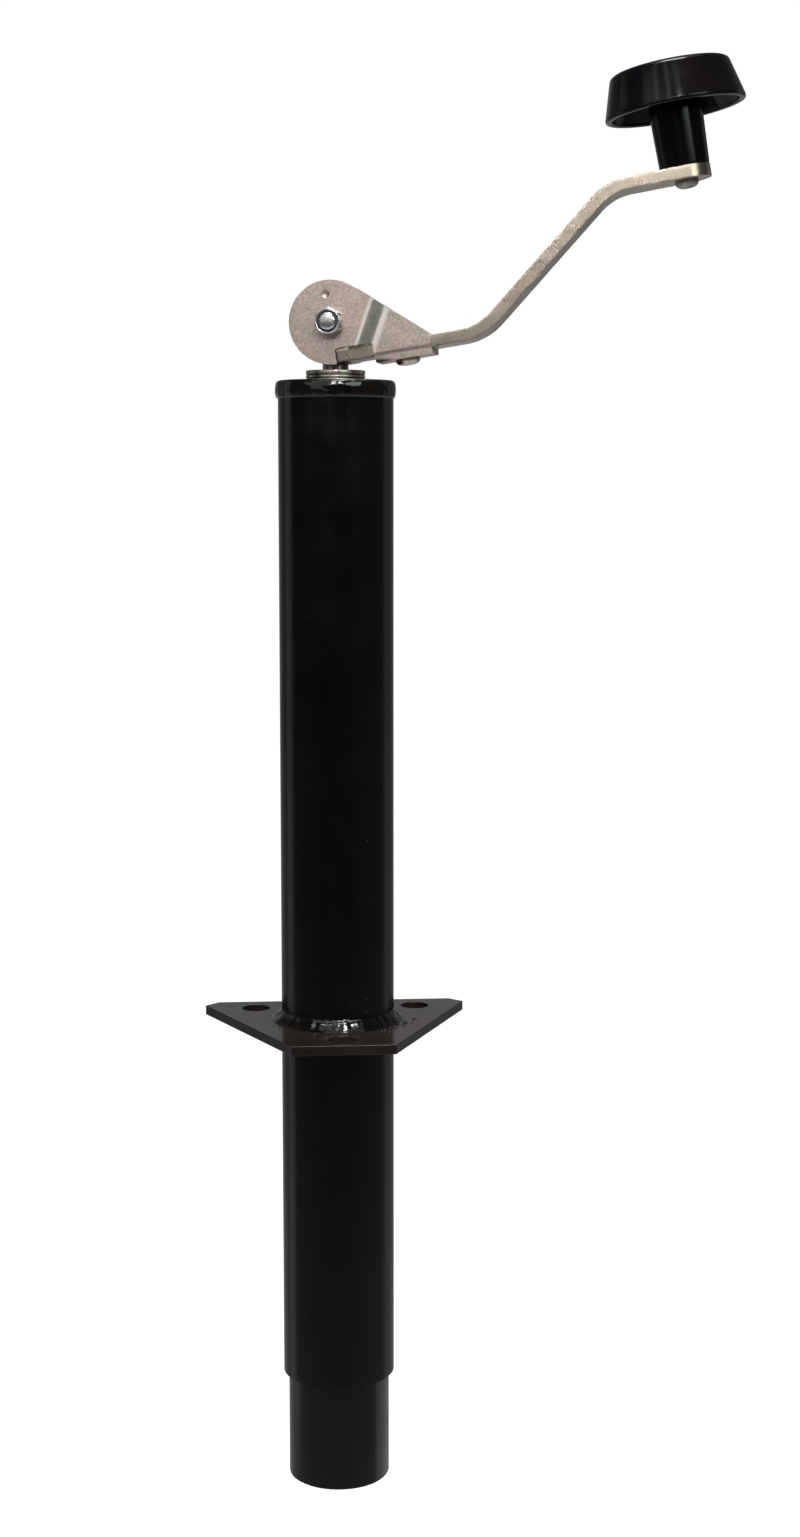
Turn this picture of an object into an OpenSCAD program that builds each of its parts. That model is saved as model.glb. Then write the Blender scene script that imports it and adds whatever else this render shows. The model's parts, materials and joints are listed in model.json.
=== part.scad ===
// Trailer tongue jack for an A-frame coupler: a screw inside two sliding tubes, a three-bolt
// mounting plate and a folding crank. The origin is the centre of the mounting plate's underside,
// on the tube axis, with +Z up. The crank stands on the +X side.

/* [Outer tube] */
// Outside diameter of the outer tube
outer_d = 57.15; // [50:0.05:70]
// Wall thickness of the outer tube
outer_wall = 2; // [1.5:0.1:2.1]
// Length of the outer tube below the mounting plate
outer_below = 181.5; // [150:0.5:200]
// Height of the outer tube's top above the mounting plate's underside
outer_above = 321; // [310:0.5:400]

/* [Top cap] */
// Thickness of the cap that closes the outer tube
cap_t = 4.5; // [3:0.5:8]
// How far the weld bead stands out from the tube
cap_bead = 1.5; // [1:0.1:2.5]
// Height of the weld bead
cap_bead_h = 8.5; // [6:0.5:9]

/* [Mounting plate] */
// Thickness of the plate
plate_t = 4.76; // [4:0.01:8]
// Bolt circle of the three holes
bolt_circle = 95.25; // [90:0.25:100]
// Diameter of each bolt hole
bolt_hole_d = 14.3; // [11:0.1:15]
// Half width of the plate across its side corners
plate_side_x = 67.4; // [62:0.1:75]
// Distance from the tube axis back to the side corners
plate_side_y = 31.7; // [28:0.1:35]
// Half width of the plate's rear edge
plate_rear_x = 60.7; // [55:0.1:61.5]
// Distance from the tube axis to the plate's rear edge
plate_rear_y = 38.5; // [36:0.1:45]
// Half width of the plate's front edge
plate_front_x = 25.6; // [20:0.1:30]
// Distance from the tube axis to the plate's front edge
plate_front_y = 59.4; // [58:0.1:70]
// Leg of the weld between the plate and the tube
plate_bead = 5.5; // [4:0.5:7]

/* [Ram] */
// Outside diameter of the inner tube
ram_d = 51.9; // [50:0.1:52]
// Wall thickness of the inner tube
ram_wall = 2.5; // [2:0.1:3]
// How far the ram stands out of the outer tube when it is wound right up
ram_showing = 55.8; // [40:0.1:80]
// Length of the inner tube
ram_length = 525; // [510:1:530]
// Travel of the ram
travel = 381; // [300:1:381]
// Thickness of the disc in the ram's foot
foot_t = 5; // [4:0.5:8]
// Length of the nut in the ram's top
nut_length = 25; // [20:1:30]

/* [Screw] */
// Pitch diameter of the screw's trapezoidal thread
screw_d = 17.46; // [16:0.02:18]
// Diameter of the neck that comes out of the cap
neck_d = 12.7; // [12:0.1:14]
// Height of the fold pivot above the top cap
pivot_above_cap = 27.4; // [26:0.1:35]
// Outside diameter of the sleeve that the pivot bolt turns in
sleeve_d = 19; // [16:0.5:20]
// Outside diameter of the washers on the neck
washer_d = 29.3; // [26:0.1:34]
// Radial running clearance
run_gap = 0.08; // [0.02:0.01:0.1]

/* [Crank] */
// Direction of the crank about the screw, seen from above
crank_azimuth = -12; // [-180:1:180]
// Width of the flat bar
arm_w = 24; // [20:1:26]
// Thickness of the flat bar
arm_t = 6; // [5:0.5:7]
// Height of the bar's middle under the pivot, at the screw's axis
arm_drop = 16.7; // [16:0.1:17]
// Distance of the first bend from the screw's axis
bend_1_x = 72.8; // [65:0.1:90]
// Distance of the second bend from the screw's axis
bend_2_x = 133.9; // [120:0.1:150]
// Distance of the knob's spindle from the screw's axis
crank_reach = 169.8; // [160:0.1:200]
// Slope of the bar's first stretch
low_slope = 9.1; // [8:0.1:10]
// Slope of the bar's middle stretch
mid_slope = 48; // [40:1:55]
// Slope of the bar's last stretch, which the knob stands square on
top_slope = 10; // [5:0.5:15]
// Bend radius of the bar's middle
bend_r = 28; // [15:1:30]
// Thickness of the pressed bracket
sheet_t = 3; // [2.5:0.1:3]
// Radius of the bracket's round ears
ear_r = 20.2; // [19:0.1:21]
// How far the ears stand out past the wings
ear_step = 2.15; // [1.5:0.05:2.5]
// Diameter of the pivot bolt
bolt_d = 7.94; // [7:0.01:8]
// Width across the flats of the pivot bolt's head and nut
hex_af = 12.7; // [12:0.1:13]

/* [Knob] */
// Radius of the knob's rim
knob_r = 33.8; // [28:0.1:36]
// Height of the knob over the arm
knob_h = 47.6; // [45:0.1:55]
// Height of the rim over the arm
rim_h = 26.8; // [25:0.1:30]
// Radius of the stem at the arm
stem_r = 12; // [11:0.1:14]
// Draft of the knob's side
knob_draft = 15.3; // [5:0.1:18]
// Wall thickness of the knob's shell
knob_wall = 3; // [2.5:0.1:4]

/* [Hidden] */

$fn = 96;
eps = 0.01;
// Length of a cutter that goes right through
through = 60;
plated = [0.78, 0.74, 0.7];
black_paint = [0.1, 0.1, 0.11];
bare_steel = [0.5, 0.5, 0.52];

outer_r = outer_d / 2;
ram_r = ram_d / 2;
screw_r = screw_d / 2;
neck_r = neck_d / 2;
bolt_r = bolt_d / 2;
cap_top = outer_above + cap_t;
ram_bottom = -outer_below - ram_showing;
ram_top = ram_bottom + ram_length;
foot_bevel = 2.5;
pivot_z = cap_top + pivot_above_cap;

// Thrust bearing, from the cap down
race_t = 2.5;
ball_r = 2.5;
ball_gap = 0.15;
ball_count = 12;
ball_circle_r = 14.5;
race_in_r = 9.8;
race_out_r = 19;
upper_race_z = outer_above - race_t;
lower_race_top = upper_race_z - 2 * (ball_r + ball_gap);
lower_race_z = lower_race_top - race_t;
ball_z = (upper_race_z + lower_race_top) / 2;
cage_t = 2.4;
cage_gap = 0.2;
cage_margin = 0.7;
collar_h = 10;
collar_r = 16;
collar_z = lower_race_z - collar_h;
collar_pin_r = 2.5;
neck_start_z = outer_above - 2;

// Stop collar at the screw's lower end
nut_z = ram_top - nut_length;
stop_play = 1;
stop_h = 12;
stop_r = 15;
stop_z = nut_z - travel - stop_play - stop_h;
stop_pin_r = 2;
screw_tail = 7;
screw_end = stop_z - screw_tail;

// Groove along the back of the ram, and the pin that runs in it
guide_z = -outer_below + 16.5;
guide_r = 3.5;
groove_half_w = 4;
groove_floor = ram_r - 1.35;
groove_play = 11;
guide_tip_gap = 0.35;
guide_plug = 0.6;

// Washers on the neck, from the cap up
base_washer_t = 1;
wear_washer_t = 1.6;
staked_washer_t = 2.4;
washer_play = 0.05;
base_washer_gap = 0.35;
wear_washer_gap = 0.2;

// Bar and bracket, in the crank's own frame: X outwards, Z up, origin at the pivot
wing_in = arm_w / 2 + 0.15;
wing_out = wing_in + sheet_t;
ear_in = wing_in + ear_step;
ear_out = ear_in + sheet_t;
sleeve_gap = 0.2;
ear_hole_gap = 0.15;
bend_1 = [bend_1_x, bend_1_x * tan(low_slope) - arm_drop];
bend_2 = [bend_2_x, bend_1[1] + (bend_2_x - bend_1_x) * tan(mid_slope)];
seat = [crank_reach, bend_2[1] + (crank_reach - bend_2_x) * tan(top_slope)];
stop_gap = 0.1;
slot_root = (neck_r + stop_gap + arm_t / 2 * sin(low_slope)) / cos(low_slope);
slot_half_w = neck_r + 0.55;
head_start = 3.4;
head_end = 9.6;
head_inset = 0.1;
head_out = ear_out + 0.2;
bracket_start = 21.3;
bracket_end = 49.4;
wing_corner_r = 3;
wing_corner = low(bracket_end - wing_corner_r, 1.8);
fold_r = sheet_t + 1.5;
fold_z = fold_r - sheet_t - arm_t / 2;
fold_inset = 0.03;
fold_relief = 1.5;
jog_lean = 18.9;
jog_start = 16.2;
jog_w = 6.2;
notch_start = 2.9;
notch_top = arm_t / 2 + 0.6;
notch_r = 1.5;
dimple = [-2.2, 13.5];
dimple_r = 2.4;
dimple_out = 1.4;
rivet_x = 35.5;
rivet_r = 4;
rivet_head_r = 6.2;
rivet_head_h = 3;
rivet_taper = 1.5;
nut_h = 6.2;
insert_h = 2.2;
bolt_head_h = 5.3;
bolt_past_nut = 1.4;
nut_collar_r = hex_af / 2 - 0.15;
nut_collar_wall = 1.1;
insert_sunk = 0.5;

// Knob and spindle, in the knob's own frame: origin on the bar's top face, Z along the spindle
spindle_r = 5;
spindle_tip_r = 6.2;
spindle_tip_h = 3;
spindle_tip_z = 39.5;
spindle_tail_r = 5.85;
spindle_tail_h = 3.6;
knob_lift = 0.4;
knob_round = 4;
knob_top_t = 6;
stem_draft = 1.2;
tip_gap = 0.4;
tip_play = 0.3;

function unit(a) = [cos(a), sin(a)];
function left_of(a) = [-sin(a), cos(a)];
// A point of the bar's first stretch, in the crank's frame
function low(x, z) = [x * cos(low_slope) - z * sin(low_slope),
    x * sin(low_slope) + z * cos(low_slope) - arm_drop];

module ring(z, h, r_out, r_in) {
    translate([0, 0, z]) difference() {
        cylinder(h = h, r = r_out);
        translate([0, 0, -1]) cylinder(h = h + 2, r = r_in);
    }
}

// Convex outline with every corner rounded by r; the points are the corners' arc centres,
// counter-clockwise
module rounded_outline(points, r) {
    n = len(points);
    polygon(points);
    for (i = [0 : n - 1]) {
        a = points[i];
        b = points[(i + 1) % n];
        out = [b[1] - a[1], a[0] - b[0]] / norm(b - a) * r;
        polygon([a, a + out, b + out, b]);
        translate(a) circle(r = r);
    }
}

// Turns a flat drawing upright: its X stays X and its Y becomes Z, centred across the crank
module upright(width) {
    rotate([90, 0, 0]) linear_extrude(height = width, center = true) children();
}

module crank_frame() {
    translate([0, 0, pivot_z]) rotate([0, 0, crank_azimuth]) children();
}

module low_frame() {
    crank_frame() translate([0, 0, -arm_drop]) rotate([0, -low_slope, 0]) children();
}

module knob_frame() {
    crank_frame() translate([seat[0], 0, seat[1]]) rotate([0, -top_slope, 0])
        translate([0, 0, arm_t / 2]) children();
}

// ---- Housing ----

module outer_tube() {
    color(black_paint) difference() {
        ring(-outer_below, outer_below + outer_above, outer_r, outer_r - outer_wall);
        translate([0, outer_r - 5, guide_z]) rotate([-90, 0, 0]) cylinder(h = 10, r = guide_r);
    }
}

module top_cap() {
    color(black_paint) ring(outer_above, cap_t, outer_r, neck_r + run_gap);
}

// Bead around the seam between tube and cap, an arc on the tube's surface
module cap_weld() {
    half = cap_bead_h / 2;
    bulge_r = (half * half + cap_bead * cap_bead) / (2 * cap_bead);
    color(black_paint) translate([0, 0, outer_above]) rotate_extrude() intersection() {
        translate([outer_r + cap_bead - bulge_r, 0]) circle(r = bulge_r);
        translate([outer_r, -half]) square([2 * cap_bead, cap_bead_h]);
    }
}

module mounting_plate() {
    color(black_paint) difference() {
        linear_extrude(height = plate_t) polygon([
            [plate_front_x, -plate_front_y], [plate_side_x, plate_side_y],
            [plate_rear_x, plate_rear_y], [-plate_rear_x, plate_rear_y],
            [-plate_side_x, plate_side_y], [-plate_front_x, -plate_front_y]]);
        translate([0, 0, -1]) cylinder(h = plate_t + 2, r = outer_r + run_gap);
        for (a = [30, 150, 270])
            rotate([0, 0, a]) translate([bolt_circle / 2, 0, -1])
                cylinder(h = plate_t + 2, d = bolt_hole_d);
    }
}

// Fillet on the plate's top face, slightly hollow
module plate_weld() {
    hollow_r = 2 * plate_bead;
    hollow_depth = 0.4;
    color(black_paint) translate([0, 0, plate_t]) rotate_extrude() difference() {
        polygon([[outer_r, 0], [outer_r + plate_bead, 0], [outer_r, plate_bead]]);
        translate([outer_r + plate_bead / 2, plate_bead / 2]
            + [1, 1] * (hollow_r - hollow_depth) / sqrt(2)) circle(r = hollow_r);
    }
}

// Plug through the back of the outer tube; its inner end runs in the ram's groove
module guide_pin() {
    start = groove_floor + guide_tip_gap;
    color(black_paint) translate([0, start, guide_z]) rotate([-90, 0, 0])
        cylinder(h = outer_r + guide_plug - start, r = guide_r);
}

module bearing_upper_race() {
    color(bare_steel) ring(upper_race_z, race_t, race_out_r, race_in_r);
}

module base_washer() {
    color(plated) ring(cap_top, base_washer_t, washer_d / 2, neck_r + base_washer_gap);
}

// ---- Ram ----

module inner_tube() {
    groove_low = guide_z - groove_play;
    groove_h = travel + 2 * groove_play;
    edge = 1.2;
    in_r = ram_r - ram_wall;
    color(black_paint) difference() {
        union() {
            rotate_extrude() union() {
                translate([in_r, ram_bottom + edge]) square([ram_wall, ram_length - edge]);
                translate([in_r, ram_bottom]) square([ram_wall - edge, edge]);
                translate([ram_r - edge, ram_bottom + edge]) circle(r = edge);
            }
            translate([-groove_half_w - ram_wall, groove_floor - ram_wall, groove_low - ram_wall])
                cube([2 * (groove_half_w + ram_wall), ram_wall, groove_h + 2 * ram_wall]);
        }
        translate([-groove_half_w, groove_floor, groove_low])
            cube([2 * groove_half_w, 10, groove_h]);
    }
}

module foot_disc() {
    r = ram_r - ram_wall;
    color(black_paint) translate([0, 0, ram_bottom]) union() {
        cylinder(h = foot_bevel, r1 = r - foot_bevel, r2 = r);
        translate([0, 0, foot_bevel]) cylinder(h = foot_t - foot_bevel, r = r);
    }
}

// Weld that fills the bevel round the foot disc
module foot_weld() {
    r = ram_r - ram_wall;
    color(black_paint) translate([0, 0, ram_bottom]) rotate_extrude()
        polygon([[r - foot_bevel, 0], [r, 0], [r, foot_bevel]]);
}

module ram_nut() {
    color(bare_steel) ring(nut_z, nut_length, ram_r - ram_wall, screw_r + run_gap);
}

module nut_weld() {
    r = ram_r - ram_wall;
    color(bare_steel) translate([0, 0, ram_top]) rotate_extrude()
        polygon([[r - 2.5, 0], [r + 1.6, 0], [r + 1, 1.2], [r - 0.5, 1.8], [r - 1.8, 1.2]]);
}

// ---- Screw ----

// The thread is drawn as a plain rod of its pitch diameter
module lead_screw() {
    color(bare_steel) difference() {
        union() {
            translate([0, 0, screw_end]) cylinder(h = neck_start_z - screw_end, r = screw_r);
            translate([0, 0, neck_start_z - eps])
                cylinder(h = pivot_z - neck_start_z + eps, r = neck_r);
        }
        crank_frame() rotate([90, 0, 0]) cylinder(h = through, r = sleeve_d / 2, center = true);
        translate([0, 0, collar_z + collar_h / 2]) rotate([0, 90, 0])
            cylinder(h = through, r = collar_pin_r, center = true);
        translate([0, 0, stop_z + stop_h / 2]) rotate([0, 90, 0])
            cylinder(h = through, r = stop_pin_r, center = true);
    }
}

// Cross sleeve welded on the neck, which carries the pivot bolt
module pivot_sleeve() {
    color(bare_steel) crank_frame() rotate([90, 0, 0]) difference() {
        cylinder(h = 2 * (ear_in - sleeve_gap), r = sleeve_d / 2, center = true);
        cylinder(h = through, r = bolt_r + run_gap, center = true);
    }
}

module wear_washer() {
    color(plated) ring(cap_top + base_washer_t + washer_play, wear_washer_t, washer_d / 2,
        neck_r + wear_washer_gap);
}

module staked_washer() {
    color(plated) ring(cap_top + base_washer_t + wear_washer_t + washer_play, staked_washer_t,
        washer_d / 2, neck_r);
}

module bearing_lower_race() {
    color(bare_steel) ring(lower_race_z, race_t, race_out_r, screw_r);
}

module pinned_collar(z, h, r, pin_r) {
    difference() {
        ring(z, h, r, screw_r);
        translate([0, 0, z + h / 2]) rotate([0, 90, 0]) cylinder(h = 3 * r, r = pin_r, center = true);
    }
}

module cross_pin(z, length, pin_r) {
    translate([0, 0, z]) rotate([0, 90, 0]) difference() {
        cylinder(h = length, r = pin_r, center = true);
        cylinder(h = length + 2, r = pin_r / 2, center = true);
    }
}

module thrust_collar() {
    color(bare_steel) pinned_collar(collar_z, collar_h, collar_r, collar_pin_r);
}

module collar_pin() {
    color(bare_steel) cross_pin(collar_z + collar_h / 2, 2 * collar_r - 1, collar_pin_r);
}

module stop_collar() {
    color(bare_steel) pinned_collar(stop_z, stop_h, stop_r, stop_pin_r);
}

module stop_pin() {
    color(bare_steel) cross_pin(stop_z + stop_h / 2, 2 * stop_r - 1, stop_pin_r);
}

// ---- Thrust bearing ----

module bearing_cage() {
    color("goldenrod") difference() {
        ring(ball_z - cage_t / 2, cage_t, race_out_r - cage_margin, race_in_r + cage_margin);
        for (i = [0 : ball_count - 1])
            rotate([0, 0, i * 360 / ball_count]) translate([ball_circle_r, 0, ball_z - cage_t])
                cylinder(h = 2 * cage_t, r = ball_r + cage_gap);
    }
}

module bearing_balls() {
    color("silver") for (i = [0 : ball_count - 1])
        rotate([0, 0, i * 360 / ball_count]) translate([ball_circle_r, 0, ball_z])
            sphere(r = ball_r);
}

// ---- Crank ----

// Side view of an ear and a wing
module bracket_outline() {
    steps = 8;
    span = norm(wing_corner);
    edge_a = atan2(wing_corner[1], wing_corner[0]) + acos((ear_r - wing_corner_r) / span);
    difference() {
        union() {
            circle(r = ear_r);
            polygon(concat([[0, 0], low(bracket_start, fold_z), low(bracket_end, fold_z)],
                [for (i = [0 : steps])
                    wing_corner + wing_corner_r * unit(low_slope + (edge_a - low_slope) * i / steps)],
                [ear_r * unit(edge_a)]));
        }
        translate([0, -arm_drop]) rotate(low_slope) rounded_outline([
            [notch_start + notch_r, -30], [bracket_start - notch_r, -30],
            [bracket_start - notch_r, notch_top - notch_r],
            [notch_start + notch_r, notch_top - notch_r]], notch_r);
        circle(r = bolt_r + ear_hole_gap);
    }
}

// Section of an ear, the jog and a wing, seen from above
module bracket_sheet() {
    polygon([[-40, ear_in], [jog_start, ear_in], [jog_start + jog_w, wing_in], [80, wing_in],
        [80, wing_out], [jog_start + jog_w, wing_out], [jog_start, ear_out], [-40, ear_out]]);
}

// Folded corners and web of the bracket, set a hair inside the wings' faces
module bracket_channel() {
    outer = fold_r - fold_inset;
    inner = fold_r - sheet_t + fold_inset;
    half = wing_out - fold_r;
    translate([bracket_start, 0, fold_z]) rotate([90, 0, 90])
        linear_extrude(height = bracket_end - bracket_start) union() {
            translate([-half, -outer]) square([2 * half, outer - inner]);
            for (side = [-1, 1]) translate([side * half, 0]) {
                intersection() {
                    difference() {
                        circle(r = outer);
                        circle(r = inner);
                    }
                    translate([side > 0 ? 0 : -fold_r, -fold_r]) square(fold_r);
                }
                translate([side > 0 ? inner : -outer, 0]) square([outer - inner, 0.5]);
            }
        }
}

module handle_bracket() {
    color(plated) difference() {
        union() {
            crank_frame() for (side = [0, 1]) mirror([0, side, 0]) intersection() {
                upright(80) bracket_outline();
                rotate([0, jog_lean, 0]) linear_extrude(height = 200, center = true) bracket_sheet();
            }
            low_frame() bracket_channel();
        }
        low_frame() translate([rivet_x, 0, -20]) cylinder(h = 20, r = rivet_r);
        crank_frame() for (side = [-1, 1])
            translate([dimple[0], side * (ear_out + dimple_out), dimple[1]])
                sphere(r = dimple_r, $fn = 48);
    }
}

// Points round a bend of the bar, a given distance to the left of its middle line
function bend_points(corner, slope_in, slope_out, offset) =
    let (turn = slope_out - slope_in, side = sign(turn), steps = 16,
        to_start = bend_r * tan(abs(turn) / 2),
        centre = corner - to_start * unit(slope_in) + side * bend_r * left_of(slope_in))
    [for (i = [0 : steps])
        centre + (bend_r - side * offset) * unit(slope_in - side * 90 + turn * i / steps)];

function bar_edge(offset) = concat(
    [low(head_start + head_inset, offset)],
    bend_points(bend_1, low_slope, mid_slope, offset),
    bend_points(bend_2, mid_slope, top_slope, offset),
    [seat + arm_w * unit(top_slope) + offset * left_of(top_slope)]);

// Flat bar, bent twice, with a forked head in the bracket's notches and a round outer end
module crank_arm() {
    end_r = arm_w / 2 + 0.1;
    upper = bar_edge(arm_t / 2);
    lower = bar_edge(-arm_t / 2);
    color(plated) difference() {
        union() {
            crank_frame() upright(arm_w)
                polygon(concat(lower, [for (i = [len(upper) - 1 : -1 : 0]) upper[i]]));
            low_frame() translate([head_start, -head_out, head_inset - arm_t / 2])
                cube([head_end - head_start, 2 * head_out, arm_t - 2 * head_inset]);
        }
        knob_frame() translate([0, 0, -2 * arm_t]) difference() {
            translate([1, -arm_w, 0]) cube([2 * arm_w, 2 * arm_w, 3 * arm_t]);
            translate([0, 0, -1]) cylinder(h = 3 * arm_t + 2, r = end_r);
        }
        low_frame() translate([-20, -slot_half_w, -arm_t])
            cube([20 + slot_root, 2 * slot_half_w, 2 * arm_t]);
        // Relief for the bracket's folded corners
        low_frame() for (side = [-1, 1])
            translate([head_end, side * arm_w / 2, -arm_t / 2]) rotate([90, 0, 90])
                linear_extrude(height = bracket_end + fold_relief - head_end)
                    polygon(fold_relief * [[1, 0], [0, 1], [-1, 0], [0, -1]]);
        low_frame() translate([rivet_x, 0, -arm_t]) cylinder(h = 2 * arm_t, r = rivet_r);
        knob_frame() translate([0, 0, -2 * arm_t]) cylinder(h = 3 * arm_t, r = rivet_r);
    }
}

// Rivet through the bar and the bracket's web
module arm_rivet() {
    grip = arm_t + sheet_t;
    color(plated) low_frame() translate([rivet_x, 0, -arm_t / 2 - sheet_t]) union() {
        cylinder(h = grip, r = rivet_r);
        translate([0, 0, -rivet_head_h]) cylinder(h = rivet_head_h, r = rivet_head_r);
        translate([0, 0, grip])
            cylinder(h = rivet_head_h, r1 = rivet_head_r, r2 = rivet_head_r - rivet_taper);
    }
}

module hex(h) {
    cylinder(h = h, d = hex_af / cos(30), $fn = 6);
}

// Hex bolt along the crank's Y axis, with its head behind
module pivot_bolt() {
    color(plated) crank_frame() rotate([90, 0, 0]) union() {
        translate([0, 0, -ear_out - bolt_head_h]) hex(bolt_head_h);
        translate([0, 0, -ear_out])
            cylinder(h = 2 * ear_out + nut_h + insert_h + bolt_past_nut, r = bolt_r);
    }
}

module pivot_nut() {
    color(plated) crank_frame() rotate([90, 0, 0]) translate([0, 0, ear_out]) difference() {
        union() {
            hex(nut_h);
            cylinder(h = nut_h + insert_h, r = nut_collar_r);
        }
        translate([0, 0, -1]) cylinder(h = nut_h + insert_h + 2, r = bolt_r);
        translate([0, 0, nut_h]) cylinder(h = insert_h + 1, r = nut_collar_r - nut_collar_wall);
    }
}

// Nylon ring in the nut's collar
module nut_insert() {
    color("ivory") crank_frame() rotate([90, 0, 0])
        ring(ear_out + nut_h, insert_h - insert_sunk, nut_collar_r - nut_collar_wall, bolt_r);
}

module knob_spindle() {
    color(plated) knob_frame() union() {
        translate([0, 0, -arm_t - spindle_tail_h]) cylinder(h = spindle_tail_h, r = spindle_tail_r);
        translate([0, 0, -arm_t]) cylinder(h = arm_t, r = rivet_r);
        cylinder(h = spindle_tip_z, r = spindle_r);
        translate([0, 0, spindle_tip_z]) cylinder(h = spindle_tip_h, r = spindle_tip_r);
    }
}

// ---- Knob ----

// Half section of the knob: a drafted shell with a rounded top and lip, and a stem
module knob_section() {
    lip_r = knob_wall / 2;
    lip_z = rim_h + lip_r;
    under = knob_h - knob_top_t;
    stem_top_r = stem_r + stem_draft;
    round_z = knob_h - knob_round;
    round_x = knob_r - (round_z - lip_z) * tan(knob_draft) - knob_round / cos(knob_draft);
    difference() {
        union() {
            difference() {
                polygon([[0, lip_z], [knob_r, lip_z],
                    [round_x, round_z] + knob_round * unit(knob_draft), [round_x, knob_h],
                    [0, knob_h]]);
                polygon([[0, 0], [knob_r - knob_wall, 0], [knob_r - knob_wall, lip_z],
                    [round_x, under], [0, under]]);
            }
            translate([round_x, round_z]) circle(r = knob_round);
            translate([knob_r - lip_r, lip_z]) circle(r = lip_r);
            polygon([[0, knob_lift], [stem_r, knob_lift], [stem_top_r, under], [stem_top_r, under + 1],
                [0, under + 1]]);
        }
        square([spindle_r + run_gap, spindle_tip_z]);
        translate([0, spindle_tip_z - tip_play])
            square([spindle_tip_r + tip_gap, spindle_tip_h + 2 * tip_play]);
    }
}

module knob() {
    color("black") knob_frame() rotate_extrude() knob_section();
}

outer_tube();
top_cap();
cap_weld();
mounting_plate();
plate_weld();
guide_pin();
bearing_upper_race();
base_washer();
inner_tube();
foot_disc();
foot_weld();
ram_nut();
nut_weld();
lead_screw();
pivot_sleeve();
staked_washer();
wear_washer();
thrust_collar();
collar_pin();
bearing_lower_race();
stop_collar();
stop_pin();
bearing_cage();
bearing_balls();
handle_bracket();
crank_arm();
arm_rivet();
pivot_bolt();
pivot_nut();
nut_insert();
knob_spindle();
knob();
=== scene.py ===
"""Looks of a trailer tongue jack: gloss black tubes, zinc plated crank, moulded black knob.

Lengths are in millimetres in the row frame unless a name says otherwise; MM turns them into metres.
"""

import json
import math

import bmesh
import bpy
from mathutils import Matrix, Vector, noise

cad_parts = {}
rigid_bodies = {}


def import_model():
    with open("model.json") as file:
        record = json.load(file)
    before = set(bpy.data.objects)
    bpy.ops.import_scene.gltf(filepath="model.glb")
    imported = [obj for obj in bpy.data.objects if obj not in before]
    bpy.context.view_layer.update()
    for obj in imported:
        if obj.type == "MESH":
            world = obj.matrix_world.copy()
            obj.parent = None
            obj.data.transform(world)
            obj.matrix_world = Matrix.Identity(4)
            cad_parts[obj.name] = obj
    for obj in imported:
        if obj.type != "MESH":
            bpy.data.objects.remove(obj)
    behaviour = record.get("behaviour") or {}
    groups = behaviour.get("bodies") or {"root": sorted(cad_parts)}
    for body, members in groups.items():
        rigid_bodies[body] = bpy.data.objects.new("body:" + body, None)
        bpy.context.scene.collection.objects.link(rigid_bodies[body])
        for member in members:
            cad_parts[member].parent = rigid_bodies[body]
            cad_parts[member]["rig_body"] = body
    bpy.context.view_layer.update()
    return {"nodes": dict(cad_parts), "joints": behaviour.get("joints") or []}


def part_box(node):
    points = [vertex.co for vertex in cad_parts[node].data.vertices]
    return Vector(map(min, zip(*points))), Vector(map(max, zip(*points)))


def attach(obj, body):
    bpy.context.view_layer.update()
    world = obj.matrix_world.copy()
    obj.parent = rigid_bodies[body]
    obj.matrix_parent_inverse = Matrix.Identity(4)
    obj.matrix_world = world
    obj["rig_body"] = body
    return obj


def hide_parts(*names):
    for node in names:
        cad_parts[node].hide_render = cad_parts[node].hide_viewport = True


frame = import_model()

MM = 0.001
NODES = frame["nodes"]
JOINTS = {j["name"]: j for j in frame["joints"]}
BODY = {name: node["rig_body"] for name, node in NODES.items()}

# ---------------------------------------------------------------- frames

ARM_W, ARM_T = 24.0, 6.0
ARM_DROP = 16.7
LOW_SLOPE, MID_SLOPE, TOP_SLOPE = (math.radians(a) for a in (9.1, 48.0, 10.0))
BEND_R = 28.0
SHEET_T = 3.0
EAR_OUT = 17.3
RIVET_X = 35.5
JOG_LEAN = math.radians(18.9)
JOG_FROM, JOG_TO = 16.2, 22.4


def joint_frame(joint, across):
    """Frame at a joint with the given axes, which takes millimetres to metres."""
    spot = Vector(JOINTS[joint]["pos_m"])
    return Matrix.Translation(spot) @ across.to_4x4() @ Matrix.Scale(MM, 4)


fold_axis = Vector(JOINTS["handle_fold"]["axis"])
side_y = -fold_axis
side_x = side_y.cross(Vector((0, 0, 1)))
CRANK = joint_frame("handle_fold", Matrix((side_x, side_y, (0, 0, 1))).transposed())
knob_z = Vector(JOINTS["knob_spin"]["axis"])
KNOB = joint_frame("knob_spin", Matrix((side_y.cross(knob_z), side_y, knob_z)).transposed())
LOW = CRANK @ Matrix.Translation((0, 0, -ARM_DROP)) @ Matrix.Rotation(-LOW_SLOPE, 4, "Y")
WORLD = Matrix.Scale(MM, 4)


def along_fold(y):
    """Frame whose Z runs out of the crank's near side, starting y mm from its middle."""
    return CRANK @ Matrix.Rotation(math.radians(90), 4, "X") @ Matrix.Translation((0, 0, y))


# ---------------------------------------------------------------- materials


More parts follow.
